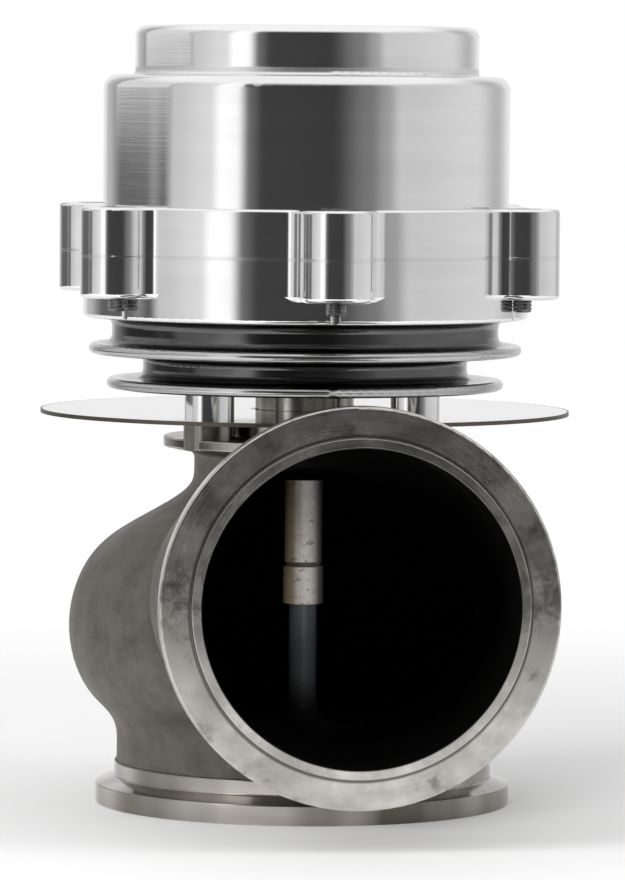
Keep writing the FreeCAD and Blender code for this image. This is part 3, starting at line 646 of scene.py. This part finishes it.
# ---- Diaphragm ------------------------------------------------------------------------------
# Moulded rubber on woven cloth. Its rim is clamped in the split, and a rolling fold joins it to the flat
# that is held between the plate and the piston.

WEAVE_BANDS = 420.0


def cloth_rubber():
    """Red-brown rubber that shows the weave of its cloth."""
    material, tree, shader, place = new_material("cloth_rubber", metallic=0.0)
    warp, weft = (node(tree, "TexWave", {"bands_direction": way}, Vector=place,
                       Scale=WEAVE_BANDS).outputs["Fac"] for way in "XY")
    weave = maths(tree, "MULTIPLY", warp, weft)
    put(tree, shader["Base Color"], mixed(tree, weave, (0.22, 0.055, 0.035, 1), (0.38, 0.12, 0.08, 1)))
    shader["Roughness"].default_value = 0.62
    put(tree, shader["Normal"], bumped(tree, weave, 0.35, 0.00012))
    return material


FOLD_IN_R, FOLD_OUT_R, FOLD_BENDS = 0.0288, 0.0348, 14
CLOTH_THICK = 0.0012
# How far the fold's lower skin stands out, and its upper skin in, at mid-height
UNDER_OUT, OVER_IN = 0.0004, 0.00102
DIAPHRAGM_BORE_R = 0.00252


def diaphragm():
    """Flat middle, a rolling fold up to the split, and the clamped rim."""
    low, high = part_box("diaphragm")
    bottom, top, rim = low[2], high[2], high[0]
    under, over = [], []
    for i in range(FOLD_BENDS + 1):
        share = i / FOLD_BENDS
        bulge = math.sin(math.pi * share)
        r = FOLD_IN_R + (FOLD_OUT_R - FOLD_IN_R) * share
        z = bottom + (top - CLOTH_THICK - bottom) * (0.5 - 0.5 * math.cos(math.pi * share))
        under.append((r + UNDER_OUT * bulge, z))
        over.append((r - OVER_IN * bulge, z + CLOTH_THICK))
    outline = [(DIAPHRAGM_BORE_R, bottom)] + under + [(rim, top - CLOTH_THICK), (rim, top)]
    outline += over[::-1] + [(DIAPHRAGM_BORE_R, bottom + CLOTH_THICK)]
    piece = turned_piece("diaphragm_fold", "housing", outline, 200)
    piece.data.materials.append(cloth_rubber())
    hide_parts("diaphragm")
    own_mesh(piece)


diaphragm()


# ---- Diaphragm plate, piston, washer and nut ------------------------------------------------
# Turned aluminium plate and cup on either side of the diaphragm. A plated washer and nut clamp
# them on the stem's thread.

TURNED_ALUMINIUM = turned_metal("turned_aluminium", grey(0.66), grey(0.80), 0.18, 0.22)
dress("diaphragm_plate", TURNED_ALUMINIUM)
dress("piston", TURNED_ALUMINIUM)
dress("stem_washer", PLATED_STEEL)
dress("stem_nut", PLATED_STEEL)


# ---- Springs --------------------------------------------------------------------------------
# Three nested springs of round wire, shot peened to an even grey. The end coils are closed and ground
# flat on the piston and on the cap's ceiling.

def spring_steel():
    material, tree, shader, place = new_material("spring_steel")
    peened = node(tree, "TexVoronoi", Vector=place, Scale=1800.0).outputs["Distance"]
    put(tree, shader["Base Color"], mixed(tree, peened, (0.20, 0.22, 0.25, 1), (0.42, 0.44, 0.47, 1)))
    put(tree, shader["Roughness"], maths(tree, "MULTIPLY_ADD", peened, 0.2, 0.32))
    put(tree, shader["Normal"], bumped(tree, peened, 0.4, 0.0001))
    return material


SPRING_STEEL = spring_steel()
STEPS_A_TURN, WIRE_SIDES = 48, 12
# Turns that lie closed at each end, and how far the wire's middle stays from the face that is
# ground there, in radii of the wire
CLOSED_TURNS, GROUND = 0.8, 0.6


def join_rings(built, rings):
    """Skins a row of equal rings and closes both ends."""
    for ring, after in zip(rings, rings[1:]):
        for j in range(len(ring)):
            k = (j + 1) % len(ring)
            built.faces.new((ring[j], ring[k], after[k], after[j]))
    built.faces.new(rings[0][::-1])
    built.faces.new(rings[-1])


def coil(name, wire_r, turns):
    """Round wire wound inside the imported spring's place, its end turns closed and ground flat."""
    low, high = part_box(name)
    bottom, top = low[2], high[2]
    mean_r = high[0] - wire_r - 0.0001
    built = bmesh.new()
    rings = []
    for i in range(turns * STEPS_A_TURN + 1):
        done = i / STEPS_A_TURN
        share = min(max((done - CLOSED_TURNS) / (turns - 2 * CLOSED_TURNS), 0.0), 1.0)
        closed = wire_r * (min(done, CLOSED_TURNS) - min(turns - done, CLOSED_TURNS)) * GROUND
        middle = bottom + GROUND * wire_r + (top - bottom - 2 * GROUND * wire_r) * share + closed
        turn = 2 * math.pi * done
        ring = []
        for j in range(WIRE_SIDES):
            bend = 2 * math.pi * j / WIRE_SIDES
            r = mean_r + wire_r * math.cos(bend)
            z = min(max(middle + wire_r * math.sin(bend), bottom), top)
            ring.append(built.verts.new((r * math.cos(turn), r * math.sin(turn), z)))
        rings.append(ring)
    join_rings(built, rings)
    bmesh.ops.recalc_face_normals(built, faces=built.faces)
    piece = finish_piece(name + "_wire", "housing", built)
    piece.data.materials.append(SPRING_STEEL)
    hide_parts(name)
    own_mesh(piece)


coil("spring_outer", 0.0020, 6)
coil("spring_middle", 0.0017, 7)
coil("spring_inner", 0.0014, 8)


# ---- Actuator cap ---------------------------------------------------------------------------
# Billet aluminium bell, turned in two steps with well rounded shoulders and polished like the
# base, so that the lobed rings of both read as one.

dress("actuator_cap", POLISHED_ALUMINIUM)


# ---- Cap screws -----------------------------------------------------------------------------
# Six plated M4 socket screws with knurled heads, sunk in the cap's lobes. They run through the
# base's lobes, and the ends of their rolled threads show below.

SCREW_LOW, SCREW_HIGH = (corner[2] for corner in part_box("cap_screws"))
SCREW_R, SCREW_ROOT_R, SCREW_PITCH = 0.0020, 0.00168, 0.0007
SCREW_HEAD_R, SCREW_HEAD, SCREW_CHAMFER = 0.0035, 0.0040, 0.0003
SCREW_CIRCLE_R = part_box("cap_screws")[1][1] - SCREW_HEAD_R
SCREW_TAIL_CHAMFER, THREAD_LEAD_IN = 0.0002, 1.2
SCREW_COUNT, SCREW_SIDES, RINGS_A_PITCH = 6, 96, 6
KNURLS, KNURL_DEPTH = 24, 0.00012
SOCKET_FLATS, SOCKET_DEPTH = 0.0030, 0.0021


def zigzag(turns):
    """Triangle wave from 0 to 1 and back, once in each turn."""
    return 1 - abs(2 * (turns % 1.0) - 1)


def thread_ring(z):
    """Thread's radius by turn at this height, cut away to the root at the tail."""
    crest = min(SCREW_R - SCREW_ROOT_R, (z - SCREW_LOW) * THREAD_LEAD_IN)
    return lambda turn: SCREW_ROOT_R + crest * zigzag(z / SCREW_PITCH - turn)


def socket_ring(turn):
    """Radius by turn of the hexagon between the socket's flats."""
    return SOCKET_FLATS / 2 / math.cos(math.radians((turn * 360) % 60 - 30))


def screw_rings():
    """Rings of a screw from its tail to the floor of its socket, as (radius by turn, height)."""
    head_foot = SCREW_HIGH - SCREW_HEAD
    rings = [(lambda turn: SCREW_ROOT_R - SCREW_TAIL_CHAMFER, SCREW_LOW)]
    layers = int((head_foot - SCREW_LOW) / SCREW_PITCH * RINGS_A_PITCH)
    for i in range(1, layers):
        z = SCREW_LOW + (head_foot - SCREW_LOW) * i / layers
        rings.append((thread_ring(z), z))
    rings.append((lambda turn: SCREW_ROOT_R, head_foot))
    rings.append((lambda turn: SCREW_HEAD_R - SCREW_CHAMFER, head_foot))
    for z in (head_foot + SCREW_CHAMFER, SCREW_HIGH - SCREW_CHAMFER):
        rings.append((lambda turn: SCREW_HEAD_R - KNURL_DEPTH * zigzag(turn * KNURLS), z))
    rings.append((lambda turn: SCREW_HEAD_R - 1.6 * SCREW_CHAMFER, SCREW_HIGH))
    rings += [(socket_ring, SCREW_HIGH), (socket_ring, SCREW_HIGH - SOCKET_DEPTH)]
    return rings


def plated_screw():
    """Zinc on the head; the thread below it is painted dark as shade under the lobes."""
    material, tree, shader, place = new_material("plated_screw")
    mottle = noise(tree, place, 900.0, 4.0)
    on_shank = below(tree, axes(tree, place)["Z"], SCREW_HIGH - SCREW_HEAD, 0.0002)
    head = mixed(tree, mottle, grey(0.34), grey(0.58))
    # The thread below the head is painted dark as shade under the lobes.
    shank_painted_shade = mixed(tree, mottle, grey(0.12), grey(0.26))
    put(tree, shader["Base Color"], mixed(tree, on_shank, head, shank_painted_shade))
    put(tree, shader["Roughness"], maths(tree, "MULTIPLY_ADD", mottle, 0.25, 0.22))
    put(tree, shader["Normal"], bumped(tree, mottle, 0.1, 0.00008))
    return material


def cap_screws():
    """Six screws in one mesh, one through each lobe."""
    built = bmesh.new()
    for k in range(SCREW_COUNT):
        place = 2 * math.pi * (k + 0.5) / SCREW_COUNT
        x, y = SCREW_CIRCLE_R * math.cos(place), SCREW_CIRCLE_R * math.sin(place)
        rings = []
        for radius, z in screw_rings():
            ring = []
            for i in range(SCREW_SIDES):
                turn = i / SCREW_SIDES
                angle = 2 * math.pi * turn
                ring.append(built.verts.new((x + radius(turn) * math.cos(angle),
                                             y + radius(turn) * math.sin(angle), z)))
            rings.append(ring)
        join_rings(built, rings)
    bmesh.ops.recalc_face_normals(built, faces=built.faces)
    piece = finish_piece("socket_screws", "housing", built)
    piece.data.materials.append(plated_screw())
    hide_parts("cap_screws")


cap_screws()


# ---- Stage ----------------------------------------------------------------------------------
# Round pale table that fades into white, and a room of soft upright panels with dark gaps between
# them, which only the metal shows. Three softboxes light the object, and one of them shines in at
# the outlet.

TABLE_R, TABLE_FRONT_Y = 0.60, -0.42


def blended(tree, factor, first, second):
    """One shader over the other by the factor."""
    made = node(tree, "MixShader", Fac=factor)
    tree.links.new(first, made.inputs[1])
    tree.links.new(second, made.inputs[2])
    return made.outputs[0]


def table():
    """Matt table; to the eye it fades into plain white before its edge."""
    built = bmesh.new()
    bmesh.ops.create_circle(built, cap_ends=True, segments=128, radius=TABLE_R)
    mesh = bpy.data.meshes.new("table")
    built.to_mesh(mesh)
    built.free()
    piece = bpy.data.objects.new("table", mesh)
    bpy.context.scene.collection.objects.link(piece)
    material, tree, shader, place = new_material("table_paint", metallic=0.0)
    shader["Roughness"].default_value = 0.8
    x, y = axes(tree, place)[:2]
    past_front = below(tree, y, TABLE_FRONT_Y, 0.07)
    put(tree, shader["Base Color"], mixed(tree, past_front, grey(0.93), grey(0.04)))
    faded = above(tree, length(tree, x, y), 0.26, 0.34)
    glow = node(tree, "Emission", Color=grey(1.0), Strength=1.0).outputs[0]
    to_glow = maths(tree, "MULTIPLY", node(tree, "LightPath").outputs["Is Camera Ray"], faded)
    out = next(n for n in tree.nodes if n.type == "OUTPUT_MATERIAL").inputs["Surface"]
    put(tree, out, blended(tree, to_glow, out.links[0].from_socket, glow))
    mesh.materials.append(material)


CAMERA_TURN = math.radians(-7.5)
# Upright panels of the room: degrees from the camera's side, less to its left, and brightness
PANELS = ((-180, 0.88), (-165, 0.85), (-150, 0.5), (-128, 0.12), (-103, 0.11), (-96, 0.24), (-88, 0.10),
          (-80, 0.62), (-56, 0.78), (-49, 1.15), (-40, 1.1), (-32, 0.14), (-24, 0.05), (14, 0.045),
          (36, 0.2), (46, 0.36), (55, 0.62), (112, 0.72), (136, 0.5), (165, 0.85), (180, 0.88))
# The dark flat on the left spans these degrees
LEFT_FLAT = (-138, -84)


def panel_place(angle):
    """Share of a turn at which an angle lies: the camera's side is 0.5."""
    return 0.5 + angle / 360.0


def studio():
    """World: white to the eye, an even fill for matt surfaces, and the panels for glossy ones."""
    world = bpy.data.worlds.new("studio")
    bpy.context.scene.world = world
    world.use_nodes = True
    tree = world.node_tree
    tree.nodes.clear()
    way = node(tree, "TexCoord").outputs["Generated"]
    way = node(tree, "VectorRotate", {"rotation_type": "Z_AXIS"}, Vector=way,
               Angle=-CAMERA_TURN).outputs[0]
    x, y, z = axes(tree, way)
    angle = maths(tree, "ARCTAN2", x, maths(tree, "MULTIPLY", y, -1.0))
    turn = maths(tree, "MULTIPLY_ADD", angle, 0.5 / math.pi, 0.5)
    panels = node(tree, "ValToRGB", Fac=turn)
    panels.color_ramp.interpolation = "EASE"
    elements = panels.color_ramp.elements
    while len(elements) < len(PANELS):
        elements.new(0.5)
    for element, (at, level) in zip(elements, PANELS):
        element.position = panel_place(at)
        element.color = grey(level)
    # The left flat ends level with the lens, and a pale wall shows above it
    left_flat = both(tree, above(tree, turn, panel_place(LEFT_FLAT[0]), 0.02),
                     below(tree, turn, panel_place(LEFT_FLAT[1]), 0.01))
    over_flat = both(tree, left_flat, above(tree, z, -0.002, 0.02))
    walls = mixed(tree, over_flat, panels.outputs[0], grey(0.72))
    room = mixed(tree, above(tree, z, 0.58, 0.4), walls, grey(1.0))
    shown = node(tree, "Background", Color=grey(1.0), Strength=1.0).outputs[0]
    fill = node(tree, "Background", Color=grey(1.0), Strength=0.66).outputs[0]
    reflected = node(tree, "Background", Color=room, Strength=1.0).outputs[0]
    light = node(tree, "LightPath").outputs
    seen_by_object = blended(tree, light["Is Glossy Ray"], fill, reflected)
    put(tree, node(tree, "OutputWorld").inputs["Surface"],
        blended(tree, light["Is Camera Ray"], seen_by_object, shown))


def softbox(name, place, width, height, power):
    """Rectangular lamp turned to the middle of the object; the metal doesn't mirror it."""
    lamp = bpy.data.lights.new(name, "AREA")
    lamp.shape = "RECTANGLE"
    lamp.size = width
    lamp.size_y = height
    lamp.energy = power
    piece = bpy.data.objects.new(name, lamp)
    bpy.context.scene.collection.objects.link(piece)
    piece.location = place
    aim = Vector((0, 0, 0.08)) - Vector(place)
    piece.rotation_euler = aim.to_track_quat("-Z", "Y").to_euler()
    piece.visible_glossy = False


CAMERA_AWAY, CAMERA_UP = 1.158, 0.143
CAMERA_AIM = Vector((-0.001, -0.02, 0.0747))
CAMERA_TILT = math.radians(0.45)


def camera():
    """Long lens from the left of the outlet, a little below the cap's top."""
    lens = bpy.data.cameras.new("camera")
    lens.lens = 234.0
    lens.sensor_width = 36.0
    lens.clip_start = 0.01
    eye = bpy.data.objects.new("camera", lens)
    bpy.context.scene.collection.objects.link(eye)
    eye.location = (CAMERA_AWAY * math.sin(CAMERA_TURN), -CAMERA_AWAY * math.cos(CAMERA_TURN), CAMERA_UP)
    way = (CAMERA_AIM - eye.location).to_track_quat("-Z", "Y").to_matrix()
    eye.rotation_euler = (way @ Matrix.Rotation(CAMERA_TILT, 3, "Z")).to_euler()
    bpy.context.scene.camera = eye


table()
studio()
softbox("left_softbox", (-0.9, -0.5, 0.7), 0.6, 0.8, 5.0)
softbox("right_softbox", (1.0, -0.5, 0.4), 0.6, 0.8, 4.0)
softbox("front_softbox", (-0.42, -1.05, 0.10), 0.25, 0.3, 26.0)
camera()
bpy.context.scene.view_settings.view_transform = "Standard"
